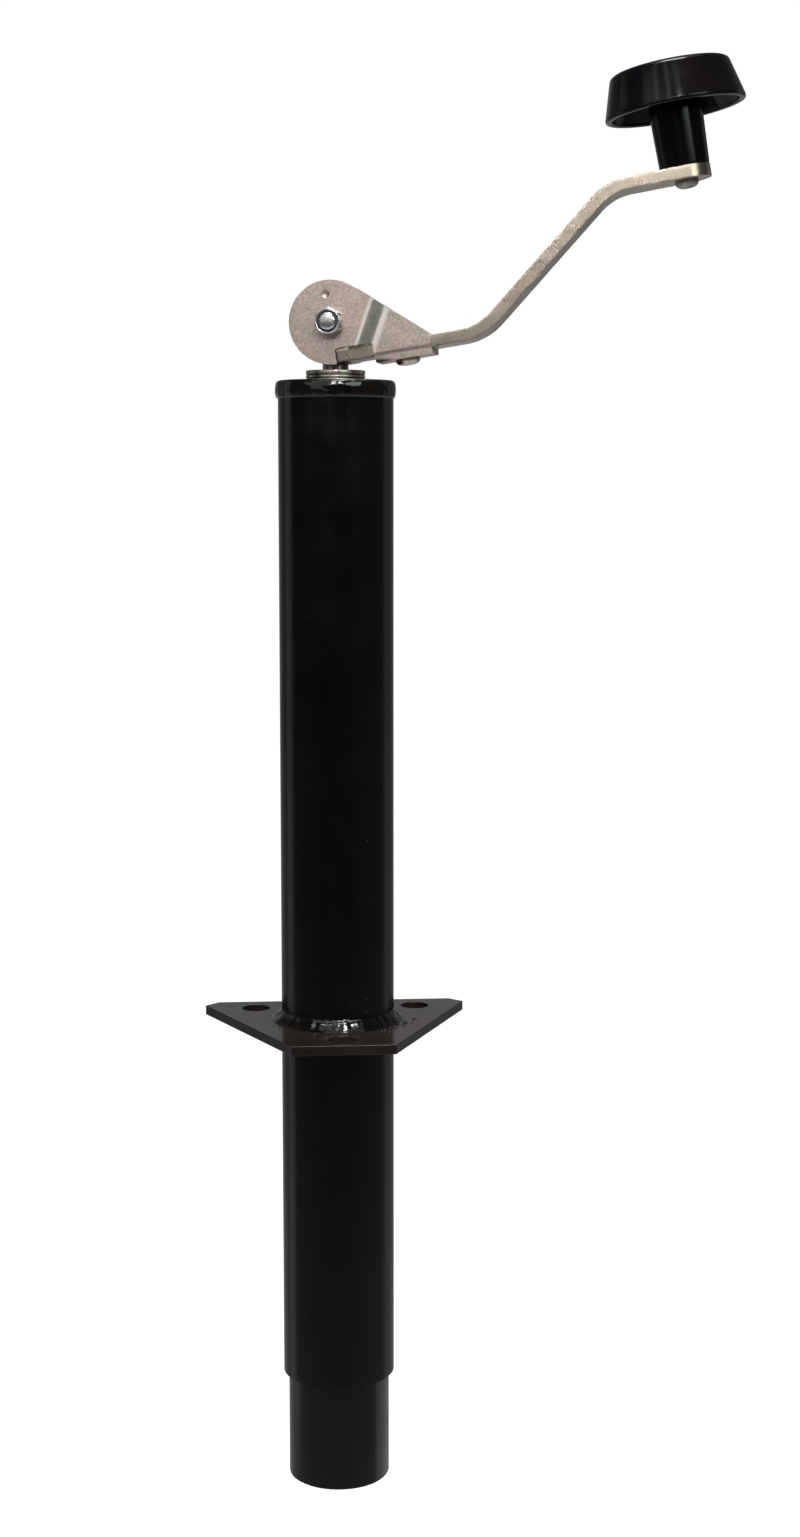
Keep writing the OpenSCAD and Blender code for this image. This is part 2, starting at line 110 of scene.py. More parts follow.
class Finish:
    """A procedural material under construction. Every pattern lives in the object's own space."""

    def __init__(self, name, colour, roughness, metallic=0.0):
        self.material = bpy.data.materials.new(name)
        self.material.use_nodes = True
        self.tree = self.material.node_tree
        self.shader = self.tree.nodes["Principled BSDF"]
        self.shader.inputs["Base Color"].default_value = (*colour, 1)
        self.shader.inputs["Roughness"].default_value = roughness
        self.shader.inputs["Metallic"].default_value = metallic
        self.coords = self.tree.nodes.new("ShaderNodeTexCoord").outputs["Object"]
        self.normal = None

    def node(self, kind, settings=None, **sockets):
        node = self.tree.nodes.new(kind)
        for key, value in (settings or {}).items():
            setattr(node, key, value)
        for key, value in sockets.items():
            socket = node.inputs[key.replace("_", " ")]
            if isinstance(value, bpy.types.NodeSocket):
                self.tree.links.new(value, socket)
            else:
                socket.default_value = value
        return node

    def stretched(self, scale):
        """Coordinates squeezed per axis, for streaks."""
        return self.node("ShaderNodeMapping", Vector=self.coords, Scale=scale).outputs["Vector"]

    def noise(self, size, detail=3.0, rough=0.5, distortion=0.0, at=None):
        """Noise whose features are about size mm across."""
        return self.node("ShaderNodeTexNoise", Vector=at or self.coords, Scale=1 / (size * MM),
                         Detail=detail, Roughness=rough, Distortion=distortion).outputs["Fac"]

    def cells(self, size, at=None):
        return self.node("ShaderNodeTexVoronoi", Vector=at or self.coords,
                         Scale=1 / (size * MM)).outputs["Distance"]

    def remap(self, value, low, high, to_low, to_high):
        node = self.node("ShaderNodeMapRange", {"clamp": True})
        self.tree.links.new(value, node.inputs["Value"])
        numbers = {"From Min": low, "From Max": high, "To Min": to_low, "To Max": to_high}
        for key, number in numbers.items():
            node.inputs[key].default_value = number
        return node.outputs["Result"]

    def maths(self, operation, a, b):
        node = self.tree.nodes.new("ShaderNodeMath")
        node.operation = operation
        for socket, value in zip(node.inputs, (a, b)):
            if isinstance(value, bpy.types.NodeSocket):
                self.tree.links.new(value, socket)
            else:
                socket.default_value = value
        return node.outputs["Value"]

    def ramp(self, value, *stops):
        node = self.node("ShaderNodeValToRGB", Fac=value)
        elements = node.color_ramp.elements
        while len(elements) < len(stops):
            elements.new(0.5)
        for element, (place, colour) in zip(elements, stops):
            element.position = place
            element.color = (*colour, 1)
        return node.outputs["Color"]

    def mix(self, factor, a, b):
        node = self.tree.nodes.new("ShaderNodeMix")
        node.data_type = "RGBA"
        for socket, value in zip((node.inputs[0], node.inputs[6], node.inputs[7]), (factor, a, b)):
            if isinstance(value, bpy.types.NodeSocket):
                self.tree.links.new(value, socket)
            else:
                socket.default_value = (*value, 1) if isinstance(value, tuple) else value
        return node.outputs[2]

    def height(self, value, depth, strength=1.0):
        """Adds relief, depth mm from black to white."""
        bump = self.node("ShaderNodeBump", Height=value, Distance=depth * MM, Strength=strength)
        if self.normal:
            self.tree.links.new(self.normal, bump.inputs["Normal"])
        self.normal = bump.outputs["Normal"]
        self.tree.links.new(self.normal, self.shader.inputs["Normal"])

    def colour(self, value):
        self.tree.links.new(value, self.shader.inputs["Base Color"])

    def roughness(self, value):
        self.tree.links.new(value, self.shader.inputs["Roughness"])


def black_paint(name, dark, light):
    f = Finish(name, light, 0.3)
    f.shader.inputs["Specular IOR Level"].default_value = 0.4
    broad = f.noise(60, 2)
    tone = f.ramp(broad, (0.3, dark), (0.7, light))
    specks = f.remap(f.cells(5.5), 0.035, 0.06, 1, 0)
    sparse = f.remap(f.noise(30, 1), 0.56, 0.62, 0, 1)
    dust = f.maths("MULTIPLY", specks, sparse)
    scuff = f.remap(f.noise(3, 4, 0.7, at=f.stretched((1, 1, 0.15))), 0.68, 0.76, 0, 1)
    scuffed = f.maths("MULTIPLY", scuff, f.remap(f.noise(70, 1), 0.55, 0.7, 0, 0.55))
    f.colour(f.mix(scuffed, f.mix(dust, tone, (0.08, 0.06, 0.05)), (0.016, 0.013, 0.011)))
    f.roughness(f.maths("ADD", f.remap(f.noise(14, 4), 0.3, 0.7, 0.13, 0.24),
                        f.maths("MULTIPLY", scuffed, 0.5)))
    f.height(f.noise(9, 2), 0.02)
    f.height(f.noise(1.6, 2), 0.006)
    f.height(dust, 0.05)
    return f.material


def weld_paint():
    f = Finish("weld_paint", (0.006, 0.006, 0.006), 0.2)
    f.colour(f.ramp(f.noise(6, 3), (0.35, (0.0025, 0.0025, 0.0025)), (0.7, (0.007, 0.005, 0.004))))
    f.roughness(f.remap(f.noise(3, 3), 0.3, 0.7, 0.08, 0.16))
    f.height(f.noise(2.6, 2, 0.5), 0.05)
    return f.material


def zinc_plate():
    f = Finish("zinc_plate", (0.6, 0.56, 0.5), 0.38, 1.0)
    wide = f.noise(8, 5, 0.66, 0.5)
    tint = f.ramp(wide, (0.34, (0.40, 0.43, 0.33)), (0.45, (0.56, 0.47, 0.39)),
                  (0.55, (0.62, 0.46, 0.42)), (0.68, (0.66, 0.56, 0.43)))
    grain = f.noise(1.0, 5, 0.8)
    light = f.mix(f.remap(grain, 0.5, 0.68, 0, 0.7), tint, (0.92, 0.84, 0.80))
    wear_and_painted_bend_light = f.mix(f.remap(grain, 0.33, 0.49, 0.65, 0), light, (0.26, 0.21, 0.19))
    # Painted highlights: lighter stripes along both bends of the jog; painted shade on the slope
    # between, darker and greener
    across = CRANK.to_3x3() @ Vector((math.cos(JOG_LEAN), 0, -math.sin(JOG_LEAN)))
    across.normalize()
    along = f.node("ShaderNodeVectorMath", {"operation": "DOT_PRODUCT"})
    f.tree.links.new(f.coords, along.inputs[0])
    along.inputs[1].default_value = across / MM
    place = f.maths("SUBTRACT", along.outputs["Value"], CRANK.translation.dot(across) / MM)

    def band(centre, half):
        """White in a soft stripe beside the jog's slanted line, centre and half width in mm."""
        off = f.maths("ABSOLUTE", f.maths("SUBTRACT", place, centre), 0)
        return f.remap(off, half * 0.3, half, 1, 0)

    # painted shade: the jog's slope darker and greener
    wear_and_painted_bend_light = f.mix(f.maths("MULTIPLY", band(JOG_FROM + 3.3, 3.0), 0.55), wear_and_painted_bend_light, (0.36, 0.44, 0.38))
    # painted highlight along the jog's first bend
    wear_and_painted_bend_light = f.mix(f.maths("MULTIPLY", band(JOG_FROM - 0.4, 1.6), 0.75), wear_and_painted_bend_light, (1.0, 0.96, 0.90))
    # painted highlight along the jog's second bend
    f.colour(f.mix(f.maths("MULTIPLY", band(JOG_TO + 1.2, 2.5), 0.7), wear_and_painted_bend_light, (1.0, 0.96, 0.90)))
    f.roughness(f.remap(f.noise(2.2, 5, 0.7), 0.3, 0.72, 0.3, 0.46))
    f.height(grain, 0.035)
    f.height(f.noise(9, 2), 0.06)
    scratch = f.remap(f.noise(1.2, 3, 0.5, at=f.stretched((0.12, 0.12, 1.6))), 0.69, 0.74, 0, 1)
    f.height(scratch, 0.02)
    return f.material


def sheared_zinc():
    """Torn, glittering top edge of the flat bar over its smoother, browner side."""
    f = Finish("sheared_zinc", (0.6, 0.54, 0.47), 0.3, 1.0)
    wide = f.noise(16, 3, 0.6)
    tint = f.ramp(wide, (0.32, (0.36, 0.33, 0.25)), (0.5, (0.50, 0.42, 0.34)), (0.7, (0.60, 0.50, 0.42)))
    grain = f.noise(1.2, 4, 0.7)
    f.colour(f.mix(f.remap(grain, 0.4, 0.75, 0, 0.16), tint, (0.80, 0.74, 0.66)))
    f.roughness(f.remap(f.noise(7, 3, 0.5), 0.3, 0.7, 0.24, 0.34))
    f.height(f.noise(6, 2, 0.5), 0.02)
    return f.material


def bright_zinc():
    f = Finish("bright_zinc", (0.72, 0.72, 0.74), 0.24, 1.0)
    f.colour(f.ramp(f.noise(5, 3), (0.35, (0.55, 0.56, 0.58)), (0.65, (0.80, 0.80, 0.82))))
    f.roughness(f.remap(f.noise(1.5, 4, 0.6), 0.3, 0.7, 0.16, 0.34))
    f.height(f.noise(0.8, 3), 0.03)
    return f.material


def washer_zinc():
    f = Finish("washer_zinc", (0.6, 0.6, 0.55), 0.3, 1.0)
    f.colour(f.ramp(f.noise(8, 3, 0.6), (0.3, (0.46, 0.47, 0.38)), (0.5, (0.60, 0.56, 0.48)),
                    (0.7, (0.66, 0.57, 0.50))))
    f.roughness(f.remap(f.noise(2, 4, 0.6), 0.3, 0.7, 0.2, 0.42))
    f.height(f.noise(1.2, 3), 0.04)
    return f.material


def oiled_steel():
    f = Finish("oiled_steel", (0.33, 0.31, 0.29), 0.32, 1.0)
    f.colour(f.ramp(f.noise(9, 4, 0.6), (0.3, (0.13, 0.12, 0.11)), (0.55, (0.30, 0.28, 0.26)),
                    (0.75, (0.40, 0.36, 0.31))))
    f.roughness(f.remap(f.noise(3, 4), 0.3, 0.7, 0.2, 0.45))
    turned = f.noise(1.0, 2, at=f.stretched((0.05, 0.05, 4)))
    f.height(turned, 0.02)
    return f.material


def brass():
    f = Finish("bearing_brass", (0.65, 0.47, 0.2), 0.3, 1.0)
    f.colour(f.ramp(f.noise(6, 3), (0.3, (0.45, 0.31, 0.12)), (0.7, (0.74, 0.56, 0.26))))
    f.roughness(f.remap(f.noise(2, 3), 0.3, 0.7, 0.22, 0.42))
    f.height(f.noise(1.0, 3), 0.02)
    return f.material


def nylon(name, dark, light):
    f = Finish(name, light, 0.45)
    f.colour(f.ramp(f.noise(2.5, 3), (0.3, dark), (0.7, light)))
    f.roughness(f.remap(f.noise(1, 3), 0.3, 0.7, 0.35, 0.55))
    f.height(f.noise(0.7, 2), 0.02)
    return f.material


def knob_plastic():
    f = Finish("knob_black", (0.006, 0.006, 0.007), 0.16)
    f.shader.inputs["Specular IOR Level"].default_value = 0.22
    f.colour(f.ramp(f.noise(22, 3, 0.6, 0.6), (0.35, (0.002, 0.002, 0.003)),
                    (0.7, (0.006, 0.004, 0.004))))
    f.roughness(f.remap(f.noise(5, 4, 0.6), 0.3, 0.7, 0.13, 0.2))
    f.height(f.noise(18, 2, at=f.stretched((1, 1, 0.35))), 0.06)
    f.height(f.noise(1.2, 2), 0.003)
    mark = f.remap(f.noise(1.1, 3, 0.6, at=f.stretched((0.3, 0.3, 1.5))), 0.7, 0.78, 0, 1)
    f.height(mark, 0.02)
    return f.material


PAINT = black_paint("black_paint", (0.0014, 0.0014, 0.0018), (0.0042, 0.0030, 0.0024))
# The plate's paint: a lighter, browner copy of the black paint, a painted sheen of the plate's top, with
# the same dust specks
DUST_AND_PAINTED_SHEEN_PAINT = black_paint("dust_and_painted_sheen_paint", (0.014, 0.010, 0.009), (0.030, 0.021, 0.018))
WELD = weld_paint()
ZINC = zinc_plate()
SHEARED = sheared_zinc()
BRIGHT = bright_zinc()
WASHER = washer_zinc()
STEEL = oiled_steel()
BRASS = brass()
NYLON = nylon("nylon", (0.02, 0.02, 0.022), (0.05, 0.05, 0.055))
PLASTIC = knob_plastic()

# ---------------------------------------------------------------- mesh helpers


def add_piece(name, bm, material, body, replaces=(), sharp=38.0, frame_matrix=None):
    """Turns a bmesh into a smooth-shaded piece that rides on a body."""
    if frame_matrix is not None:
        bm.transform(frame_matrix)
    bmesh.ops.recalc_face_normals(bm, faces=bm.faces)
    mesh = bpy.data.meshes.new(name)
    bm.to_mesh(mesh)
    bm.free()
    mesh.shade_smooth()
    mesh.set_sharp_from_angle(angle=math.radians(sharp))
    obj = bpy.data.objects.new(name, mesh)
    mesh.materials.append(material)
    bpy.context.scene.collection.objects.link(obj)
    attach(obj, body)
    if replaces:
        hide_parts(*replaces)
    return obj


def rounded(points, radii, steps=5, closed=True):
    """Polyline with its corners eased. radii is one number or one per point."""
    count = len(points)
    radii = [radii] * count if isinstance(radii, (int, float)) else radii
    out = []
    for i, (point, radius) in enumerate(zip(points, radii)):
        here = Vector(point)
        if radius <= 0 or (not closed and i in (0, count - 1)):
            out.append(tuple(here))
            continue
        before, after = Vector(points[i - 1]) - here, Vector(points[(i + 1) % count]) - here
        cut = min(radius, before.length * 0.48, after.length * 0.48)
        a, b = here + before.normalized() * cut, here + after.normalized() * cut
        for k in range(steps + 1):
            t = k / steps
            out.append(tuple(a * (1 - t) ** 2 + here * 2 * t * (1 - t) + b * t ** 2))
    return out


def surface(rows, wrap_rows, wrap_columns, bm=None):
    """Quads over a grid of points; rows of one point close as a fan."""
    bm = bm or bmesh.new()
    made = [[bm.verts.new(p) for p in row] for row in rows]
    pairs = list(zip(made, made[1:])) + ([(made[-1], made[0])] if wrap_rows else [])
    for low, high in pairs:
        n = max(len(low), len(high))
        for i in range(n if wrap_columns else n - 1):
            j = (i + 1) % n
            corners = [low[i % len(low)], low[j % len(low)], high[j % len(high)], high[i % len(high)]]
            corners = [v for k, v in enumerate(corners) if v not in corners[:k]]
            if len(corners) > 2:
                bm.faces.new(corners)
    return bm


def lathe(profile, closed=False, segments=128, shape=None, bm=None):
    """Turns (r, z) points about Z. shape(angle, r, z) may move a point."""
    rows = []
    for r, z in profile:
        if r < 1e-6:
            rows.append([(0, 0, z)])
            continue
        row = []
        for i in range(segments):
            a = 2 * math.pi * i / segments
            rr, zz = shape(a, r, z) if shape else (r, z)
            row.append((rr * math.cos(a), rr * math.sin(a), zz))
        rows.append(row)
    return surface(rows, closed, True, bm)


def hexed(flats):
    """Shape for lathe that trims a round blank to a hexagon."""
    def shape(a, r, z):
        turn = (a + math.pi / 6) % (math.pi / 3) - math.pi / 6
        return min(r, flats / 2 / math.cos(turn)), z
    return shape


def wobble(amount, size, seed):
    """Uneven rim for lathe, so that a pressed or turned edge isn't perfect."""
    def shape(a, r, z):
        n = noise.noise(Vector((math.cos(a) * size, math.sin(a) * size, seed + z * 0.05)))
        return r - abs(n) * amount, z
    return shape


def softened(node, width, material, segments=2, angle=32.0, bends=None):
    """The CAD node again with its sharp edges eased by a bevel.

    bends is (least angle, most angle, width) for the gentler folds that get a wider rounding first.
    """
    bm = bmesh.new()
    bm.from_mesh(NODES[node].data)
    bmesh.ops.remove_doubles(bm, verts=bm.verts, dist=2e-6)
    bmesh.ops.dissolve_limit(bm, angle_limit=math.radians(0.6), verts=bm.verts, edges=bm.edges)
    if bends:
        least, most, wide = bends
        folds = [e for e in bm.edges if len(e.link_faces) == 2 and e.calc_length() > 8 * MM
                 and math.radians(least) < e.calc_face_angle() < math.radians(most)]
        bmesh.ops.bevel(bm, geom=folds, offset=wide * MM, offset_type="OFFSET", segments=6, profile=0.5,
                        affect="EDGES", clamp_overlap=True)
    obj = add_piece(node + "_eased", bm, material, BODY[node], [node], angle)
    bevel = obj.modifiers.new("eased edges", "BEVEL")
    bevel.width = width * MM
    bevel.segments = segments
    bevel.limit_method = "ANGLE"
    bevel.angle_limit = math.radians(angle)
    bevel.harden_normals = not bends
    bevel.use_clamp_overlap = True
    if bends:
        weighted = obj.modifiers.new("flat faces", "WEIGHTED_NORMAL")
        weighted.weight = 100
    return obj


# ---------------------------------------------------------------- welds


def weld_bead(name, node, profile, ripple, depth, width_change, seed, lumps):
    """Bead of uneven ripples round the tube. profile is its section, outer face first.

    lumps is a list of (degrees round the tube, width in degrees, height in mm).
    """
    radius = max(r for r, z in profile)
    count = 1200
    step = 2 * math.pi / max(1, round(2 * math.pi * radius / ripple))
    middle = (len(profile) - 1) / 2
    rows = []
    for i in range(count):
        a = 2 * math.pi * i / count
        wander = noise.noise(Vector((3 * math.cos(a), 3 * math.sin(a), seed)))
        lump = sum(h * math.exp(-((a - math.radians(c) + math.pi) % (2 * math.pi) - math.pi) ** 2
                                / (2 * math.radians(w) ** 2)) for c, w, h in lumps)
        row = []
        for k, (r, z) in enumerate(profile):
            edge = abs(k - middle) / middle
            belly = 1 - edge * edge
            phase = (a / step + 0.55 * edge * edge + 0.35 * wander) % 1.0
            crest = 0.5 + 0.5 * math.sin(2 * math.pi * phase)
            around = Vector((math.cos(a), math.sin(a), 0)) * radius
            rough = noise.noise(around / 5.0 + Vector((0, 0, z / 2.4 + seed)))
            fine = noise.noise(around / 2.2 + Vector((0, 0, z / 1.3 + seed)))
            sink = (0.35 * depth * (1 - crest) + width_change * (0.3 + 0.3 * wander)
                    + 0.6 * depth * (0.5 + fine) + 2.2 * depth * (0.5 + rough))
            out = (r - belly * max(0.0, sink - lump)) if belly > 0 else r
            row.append((out * math.cos(a), out * math.sin(a), z - wander * belly * width_change * 0.5))
        rows.append(row)
    bm = surface(rows, True, True)
    return add_piece(name, bm, WELD, BODY[node], [node], 60, WORLD)


tube_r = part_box("outer_tube")[1].x / MM
tube_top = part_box("outer_tube")[1].z / MM
cap_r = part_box("cap_weld")[1].x / MM
cap_low, cap_high = (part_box("cap_weld")[i].z / MM for i in (0, 1))
plate_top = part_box("mounting_plate")[1].z / MM
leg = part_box("plate_weld")[1].x / MM - tube_r

half = (cap_high - cap_low) / 2
cap_section = [(tube_r - 0.3, tube_top - half)]
for k in range(13):
    t = math.radians(-90 + 15 * k)
    belly_r = tube_r + (cap_r - tube_r) * math.cos(t) ** 0.8 if abs(math.cos(t)) > 1e-6 else tube_r
    cap_section.append((belly_r, tube_top + half * math.sin(t) * 0.98))
cap_section.append((tube_r - 0.3, tube_top + half))
weld_bead("cap_weld_bead", "cap_weld", cap_section, 4.4, 0.16, 0.35, 2.0,
          [(262, 4, 0.35), (75, 6, 0.3), (180, 3, 0.25)])

plate_section = [(tube_r - 0.2, plate_top + leg)]
for k in range(11):
    t = k / 10
    bulge = math.sin(math.pi * t) * 0.35
    dip = (0.6 - bulge) * math.sin(math.pi * t)
    plate_section.append((tube_r + 0.02 + leg * t * 0.99 - dip,
                          plate_top + leg * (1 - t) * 0.99 + 0.02 - dip))
plate_section.append((tube_r - 0.2, plate_top - 0.1))
weld_bead("plate_weld_bead", "plate_weld", plate_section, 4.8, 0.26, 0.6, 7.0,
          [(200, 5, 0.4), (332, 4, 0.5), (275, 6, 0.3)])


def droplet(bm, centre, radius, normal, seed):
    """A spatter ball melted onto a surface."""
    made = bmesh.ops.create_icosphere(bm, subdivisions=2, radius=radius)["verts"]
    turn = Vector((0, 0, 1)).rotation_difference(normal).to_matrix()
    for v in made:
        swell = 1 + 0.25 * noise.noise(v.co * 1.4 + Vector((seed, 0, 0)))
        v.co = turn @ Vector((v.co.x * swell, v.co.y * swell, v.co.z * 0.6 * swell)) + centre


def spatter():
    bm = bmesh.new()
    for k in range(46):
        a = math.radians(205 + (k * 53.7) % 150 if k % 5 else 300 + (k * 9.3) % 40)
        far = tube_r + leg + 0.6 + ((k * 7.31) % 9.0) * (0.4 + 0.12 * (k % 4))
        if abs(far * math.sin(a)) > 40 or (k % 3 == 0 and abs(math.cos(a)) < 0.2):
            continue
        r = 0.3 + 0.13 * ((k * 3.7) % 5) * (1.5 if math.cos(a) > 0.3 else 0.8)
        droplet(bm, Vector((far * math.cos(a), far * math.sin(a), plate_top)), r, Vector((0, 0, 1)), k)
    for k in range(16):
        a = math.radians(210 + (k * 71.3) % 130)
        z = plate_top + leg + 1 + (k * 5.3) % 11
        out = Vector((math.cos(a), math.sin(a), 0))
        droplet(bm, out * tube_r + Vector((0, 0, z)), 0.25 + 0.08 * (k % 4), out, k + 60)
    add_piece("weld_spatter", bm, WELD, BODY["mounting_plate"], (), 60, WORLD)


spatter()

# ---------------------------------------------------------------- tubes and plate

softened("outer_tube", 0.35, PAINT)
softened("inner_tube", 0.3, PAINT)
softened("top_cap", 0.5, PAINT)
# the plate takes the lighter paint, its colour a painted sheen
softened("mounting_plate", 0.45, DUST_AND_PAINTED_SHEEN_PAINT, 3)
softened("foot_disc", 0.3, PAINT)

# ---------------------------------------------------------------- washers


def washer(node, unevenness, seed):
    """Turned washer, a little thinner than its CAD node so that dark lines part the stack."""
    low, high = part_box(node)
    r = high.x / MM
    bore = min(v.co.xy.length for v in NODES[node].data.vertices) / MM
    gap_below, gap_above = 0.1, 0.12
    a, b = low.z / MM + gap_below, high.z / MM - gap_above
    edge = min(0.45, (b - a) * 0.35)
    corners = [(bore, a), (r, a), (r, b), (bore, b)]
    bm = lathe(rounded(corners, [0.15, edge, edge, 0.3], 4), True, 144, wobble(unevenness, 2.2, seed))
    add_piece(node + "_turned", bm, WASHER, BODY[node], [node], 50, WORLD)


washer("base_washer", 0.1, 3.0)
washer("wear_washer", 0.1, 11.0)
washer("staked_washer", 0.1, 19.0)

# ---------------------------------------------------------------- screw


def lead_screw():
    """Left-hand trapezoidal thread below the collar, and the turned neck above it."""
    low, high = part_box("lead_screw")
    bottom = low.z / MM
    crest, root, lead = 8.73, 6.95, 3.175
    neck_r, neck_from, neck_top = 6.35, tube_top - 2, high.z / MM
    thread_top = neck_from - 34
    bm = bmesh.new()
    sides, turns = 24, (thread_top - bottom - 4) / lead
    section = [(root, 0.0), (root, 0.36), (crest, 0.54), (crest, 0.86), (root, 1.0)]
    total = int(turns * sides)
    rows = []
    for i in range(total + 1):
        a = -2 * math.pi * i / sides
        z = bottom + 2 + lead * i / sides
        fade = min(1.0, i / sides, (total - i) / sides)
        rows.append([((root + (r - root) * fade) * math.cos(a), (root + (r - root) * fade) * math.sin(a),
                      z + lead * t) for r, t in section])
    surface(rows, False, False, bm)
    lathe(rounded([(0, bottom), (root, bottom), (root, bottom + 5)], [0, 0.8, 0], 4, False),
          False, 48, None, bm)
    lathe(rounded([(root, thread_top - 3), (crest, thread_top - 1), (crest, neck_from),
                   (neck_r, neck_from), (neck_r, neck_top - 0.5), (0, neck_top - 0.5)],
                  [0, 0.5, 0.6, 0.4, 0.5, 0], 4, False), False, 64, None, bm)
    add_piece("threaded_screw", bm, STEEL, BODY["lead_screw"], ["lead_screw"], 40, WORLD)


lead_screw()
for steel_node in ("pivot_sleeve", "thrust_collar", "stop_collar", "ram_nut",
                   "bearing_upper_race", "bearing_lower_race"):
    softened(steel_node, 0.35, STEEL)

# ---------------------------------------------------------------- crank arm


def arm_path():
    """Middle line of the bar in the crank's side plane: [(length along, point, slope)]."""
    def low_point(x):
        return Vector((x * math.cos(LOW_SLOPE), x * math.sin(LOW_SLOPE) - ARM_DROP))

    knob_seat = CRANK.inverted() @ KNOB.translation
    top_dir = Vector((math.cos(TOP_SLOPE), math.sin(TOP_SLOPE)))
    seat = Vector((knob_seat.x, knob_seat.z)) - ARM_T / 2 * Vector((-top_dir.y, top_dir.x))
    low_dir = Vector((math.cos(LOW_SLOPE), math.sin(LOW_SLOPE)))
    mid_dir = Vector((math.cos(MID_SLOPE), math.sin(MID_SLOPE)))

    def crossing(p, d, q, e):
        t = ((q.x - p.x) * e.y - (q.y - p.y) * e.x) / (d.x * e.y - d.y * e.x)
        return p + d * t

    start = low_point(0)
    bend_2 = seat - top_dir * (seat.x - 133.9) / top_dir.x
    bend_1 = crossing(start, low_dir, bend_2, mid_dir)
    path, length, here = [(0.0, start, LOW_SLOPE)], 0.0, start
    for corner, slope_in, slope_out in ((bend_1, LOW_SLOPE, MID_SLOPE), (bend_2, MID_SLOPE, TOP_SLOPE)):
        turn = slope_out - slope_in
        back = BEND_R * math.tan(abs(turn) / 2)
        d = Vector((math.cos(slope_in), math.sin(slope_in)))
        arc_start = corner - d * back
        length += (arc_start - here).length
        path.append((length, arc_start, slope_in))
        hand = math.copysign(1, turn)
        centre = arc_start + hand * BEND_R * Vector((-d.y, d.x))
        for k in range(1, 25):
            slope = slope_in + turn * k / 24
            point = centre - hand * BEND_R * Vector((-math.sin(slope), math.cos(slope)))
            length += BEND_R * abs(turn) / 24
            path.append((length, point, slope))
        here = path[-1][1]
    length += (seat - here).length
    path.append((length, seat, TOP_SLOPE))
    seat_length = length
    path.append((length + 20, seat + 20 * top_dir, TOP_SLOPE))
    return path, seat_length


def bend_onto(path, s, h):
    """Point h above the middle line at length s."""
    for (s0, p0, a0), (s1, p1, a1) in zip(path, path[1:]):
        if s <= s1 or s1 == path[-1][0]:
            t = (s - s0) / (s1 - s0)
            slope = a0 + (a1 - a0) * t
            point = p0.lerp(p1, t)
            if abs(a1 - a0) > 1e-6:
                hand = math.copysign(1, a1 - a0)
                centre = p0 + hand * BEND_R * Vector((-math.sin(a0), math.cos(a0)))
                point = centre - hand * BEND_R * Vector((-math.sin(slope), math.cos(slope)))
            return point + h * Vector((-math.sin(slope), math.cos(slope)))


def crank_arm():
    path, seat = arm_path()
    w, slot_root, slot_w = ARM_W / 2, 7.1, 6.9
    head_out, head_start, head_end = EAR_OUT + 0.2, 3.5, 9.6
    end_r = w + 0.1
    outline = [(slot_root, -slot_w), (head_start, -slot_w), (head_start, -head_out),
               (head_end, -head_out), (head_end, -w)]
    turned = math.degrees(math.asin(w / end_r))
    for k in range(25):
        a = math.radians(-turned + 2 * turned * k / 24)
        outline.append((seat + end_r * math.cos(a), end_r * math.sin(a)))
    outline += [(head_end, w), (head_end, head_out), (head_start, head_out), (head_start, slot_w),
                (slot_root, slot_w)]
    bm = bmesh.new()
    bm.faces.new([bm.verts.new((x, y, -ARM_T / 2)) for x, y in outline])
    cuts = [(s, (1, 0, 0)) for s in [head_start + 1.2 * k for k in range(1, int((seat + 10) / 1.2))]]
    cuts += [(y, (0, 1, 0)) for y in (-11.2, -8, -4, 0, 4, 8, 11.2)]
    for place, normal in cuts:
        bmesh.ops.bisect_plane(bm, geom=bm.verts[:] + bm.edges[:] + bm.faces[:], dist=1e-5,
                               plane_co=Vector(normal) * place, plane_no=normal)
    top = bmesh.ops.extrude_face_region(bm, geom=bm.faces[:])["geom"]
    raised = [g for g in top if isinstance(g, bmesh.types.BMVert)]
    bmesh.ops.translate(bm, verts=raised, vec=(0, 0, ARM_T))
    bmesh.ops.recalc_face_normals(bm, faces=bm.faces)
    # Loops that keep the side face flat between its torn upper edge and its lower one
    for level in (1.7, -2.0):
        bmesh.ops.bisect_plane(bm, geom=bm.verts[:] + bm.edges[:] + bm.faces[:], dist=1e-5,
                               plane_co=(0, 0, level), plane_no=(0, 0, 1))
    edges = [e for e in bm.edges if len(e.link_faces) == 2 and e.calc_face_angle() > 1.0]
    bmesh.ops.bevel(bm, geom=edges, offset=0.45, offset_type="OFFSET", segments=3, profile=0.6,
                    affect="EDGES", clamp_overlap=True)
    for v in bm.verts:
        s, y, h = v.co
        rim = max(0.0, min(1.0, (abs(y) - 9.5) / 2.5)) if head_end < s < seat else 0.3
        spot = Vector((s, y, h))
        at_edge = abs(h) > 2.1
        torn = (rim if h > 0 else 0.25 * rim) if at_edge else 0.0
        fine = noise.noise(spot * 1.3 + Vector((9, 0, 0)))
        chew = torn * (0.30 * noise.noise(spot * 0.45) + 0.42 * fine)
        wave = 0.06 * noise.noise(spot * 0.1) if at_edge else 0.0
        y -= math.copysign(0.05 * rim * abs(noise.noise(spot * 0.35 + Vector((0, 40, 0)))), y)
        h -= math.copysign(1, h) * (abs(chew) + abs(wave))
        point = bend_onto(path, s, h)
        v.co = (point.x, y, point.y)
    add_piece("bent_flat_bar", bm, SHEARED, BODY["crank_arm"], ["crank_arm"], 50, CRANK)


crank_arm()

# ---------------------------------------------------------------- bracket and fasteners

softened("handle_bracket", 0.6, ZINC, 3, angle=30.0, bends=(14, 28, 2.2))


def rivet_head(radius, height, turned=1):
    """Profile of a domed, slightly flattened rivet head standing on z = 0."""
    points = [(0, height), (radius * 0.45, height), (radius * 0.85, height * 0.78),
              (radius, height * 0.3), (radius * 0.98, 0), (0, 0)]
    return [(r, z * turned) for r, z in rounded(points, [0, 1.2, 1.0, 0.8, 0.3, 0], 5, False)]


